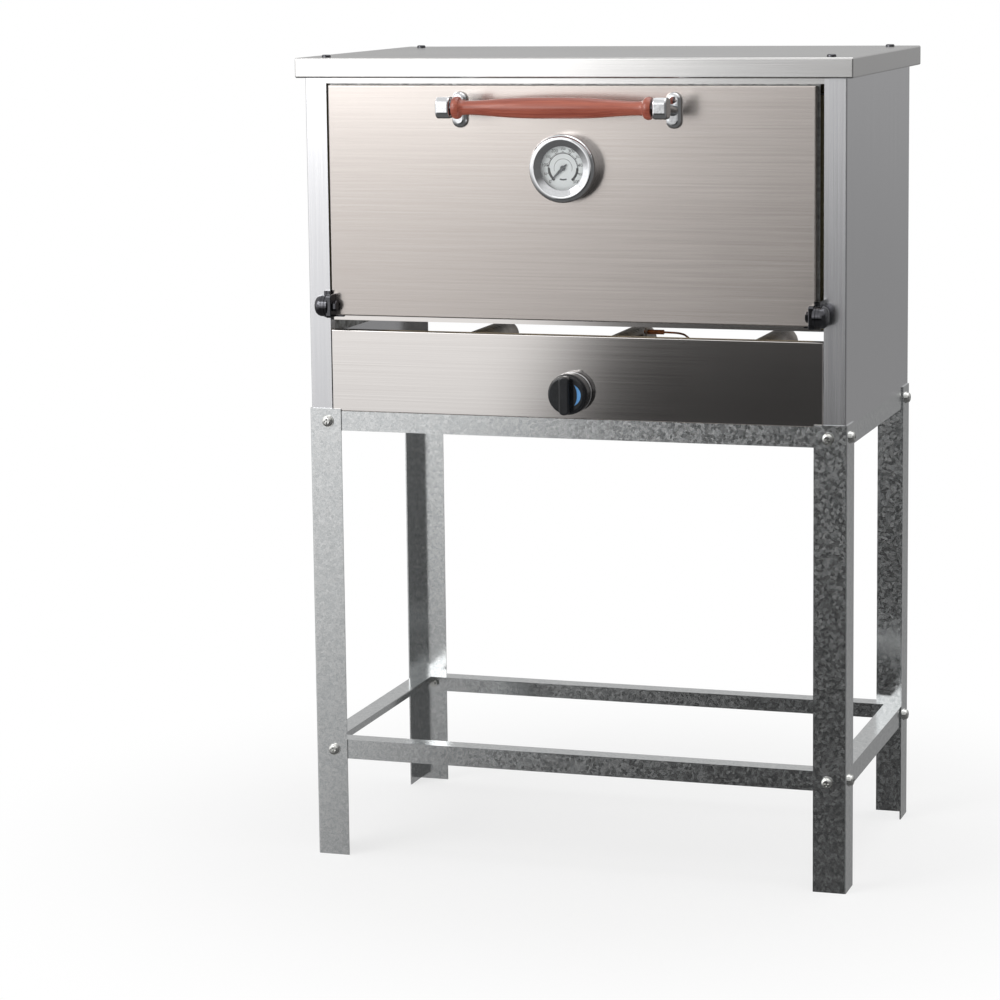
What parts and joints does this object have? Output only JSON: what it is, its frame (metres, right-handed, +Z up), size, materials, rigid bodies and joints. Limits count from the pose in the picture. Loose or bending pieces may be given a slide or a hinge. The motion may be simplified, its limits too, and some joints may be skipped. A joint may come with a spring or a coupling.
{
  "type": "gas pizza oven on a leg stand",
  "caption": "Floor-standing gas pizza oven: insulated sheet-metal cabinet with a drop-down stainless door, turned grip handle, door thermometer and gas knob, on a bolted angle stand.",
  "frame": {"origin": "bottom centre of the bounding box, on the floor", "axes": "+Z up, +Y from the door towards the back, +X to the right of someone facing the door"},
  "size_m": [0.683, 0.4898, 0.9907],
  "materials": {
    "stainless_door": "satin brushed stainless sheet",
    "mill_stainless": "dull mill-finish stainless sheet",
    "bright_stainless": "bright ground stainless sheet",
    "zinc_sheet": "galvanised, fine spangle",
    "zinc_fastener": "bright zinc plate",
    "chrome": "polished",
    "black_paint": "heat-proof black",
    "black_plastic": "moulded, glossy",
    "clay_grip": "turned and stained, satin",
    "fire_stone": "pressed refractory, matt",
    "mineral_wool": "mineral-wool blanket",
    "gasket_cord": "woven glass fibre",
    "brass": "machined",
    "dial_white": "printed matt white",
    "glass": "clear, polished",
    "steel_pipe": "drawn steel, heat-tinted",
    "copper_lead": "copper capillary lead"
  },
  "bodies": {
    "cabinet": {"side_panel_left": "mill_stainless", "side_panel_right": "mill_stainless", "control_panel": "bright_stainless", "header_panel": "mill_stainless", "roof_cover": "mill_stainless", "hearth_sill": "bright_stainless", "leg_front_left": "zinc_sheet", "leg_front_right": "zinc_sheet", "leg_rear_left": "zinc_sheet", "leg_rear_right": "zinc_sheet", "long_rails": "zinc_sheet", "side_rails": "zinc_sheet", "back_panel": "zinc_sheet", "hearth_rails": "zinc_sheet", "hearth_rear_support": "zinc_sheet", "liner_left": "zinc_sheet", "liner_right": "zinc_sheet", "liner_top": "zinc_sheet", "liner_back": "zinc_sheet", "flue_duct": "zinc_sheet", "burner_supports": "zinc_sheet", "stand_bolts": "zinc_fastener", "stand_washers": "zinc_fastener", "stand_nuts": "zinc_fastener", "valve_return_spring": "zinc_fastener", "sheet_screws": "black_paint", "hinge_post_brackets": "black_paint", "hinge_bolts": "black_paint", "hinge_cap_nuts": "black_paint", "knob_ring": "chrome", "hearth_stones": "fire_stone", "wool_blankets": "mineral_wool", "door_gasket": "gasket_cord", "injectors": "brass", "gas_valve": "brass", "inlet_fitting": "brass", "burner_left": "steel_pipe", "burner_middle": "steel_pipe", "burner_right": "steel_pipe", "gas_manifold": "steel_pipe", "supply_pipe": "steel_pipe", "thermocouple": "copper_lead"},
    "door": {"door_skin": "stainless_door", "door_inner_pan": "zinc_sheet", "door_wool": "mineral_wool", "hinge_door_brackets": "black_paint", "handle_brackets": "chrome", "handle_grip": "clay_grip", "handle_rod": "steel_pipe", "handle_washers": "black_paint", "handle_screws": "zinc_fastener", "gauge_housing": "chrome", "gauge_glass": "glass", "gauge_dial": "dial_white", "gauge_stem": "steel_pipe", "gauge_nut": "zinc_fastener"},
    "pointer": {"gauge_pointer": "black_paint"},
    "collar": {"spindle_collar": "black_paint"},
    "knob": {"control_knob": "black_plastic", "valve_spindle": "brass"}
  },
  "joints": [
    {"name": "door_hinge", "type": "hinge", "parent": "cabinet", "child": "door", "pos_m": [0, -0.18205, 0.69], "axis": [1, 0, 0], "range_deg": [0, 90]},
    {"name": "gauge_pointer_turn", "type": "hinge", "parent": "door", "child": "pointer", "pos_m": [0, -0.18, 0.8595], "axis": [0, 1, 0], "range_deg": [0, 270]},
    {"name": "knob_push", "type": "slide", "parent": "cabinet", "child": "collar", "axis": [0, 1, 0], "range_m": [0, 0.0032], "stiffness_N_per_m": 1500, "springref_m": -0.002},
    {"name": "knob_turn", "type": "hinge", "parent": "collar", "child": "knob", "pos_m": [0, -0.15, 0.5905], "axis": [0, -1, 0], "range_deg": [0, 220]}
  ]
}
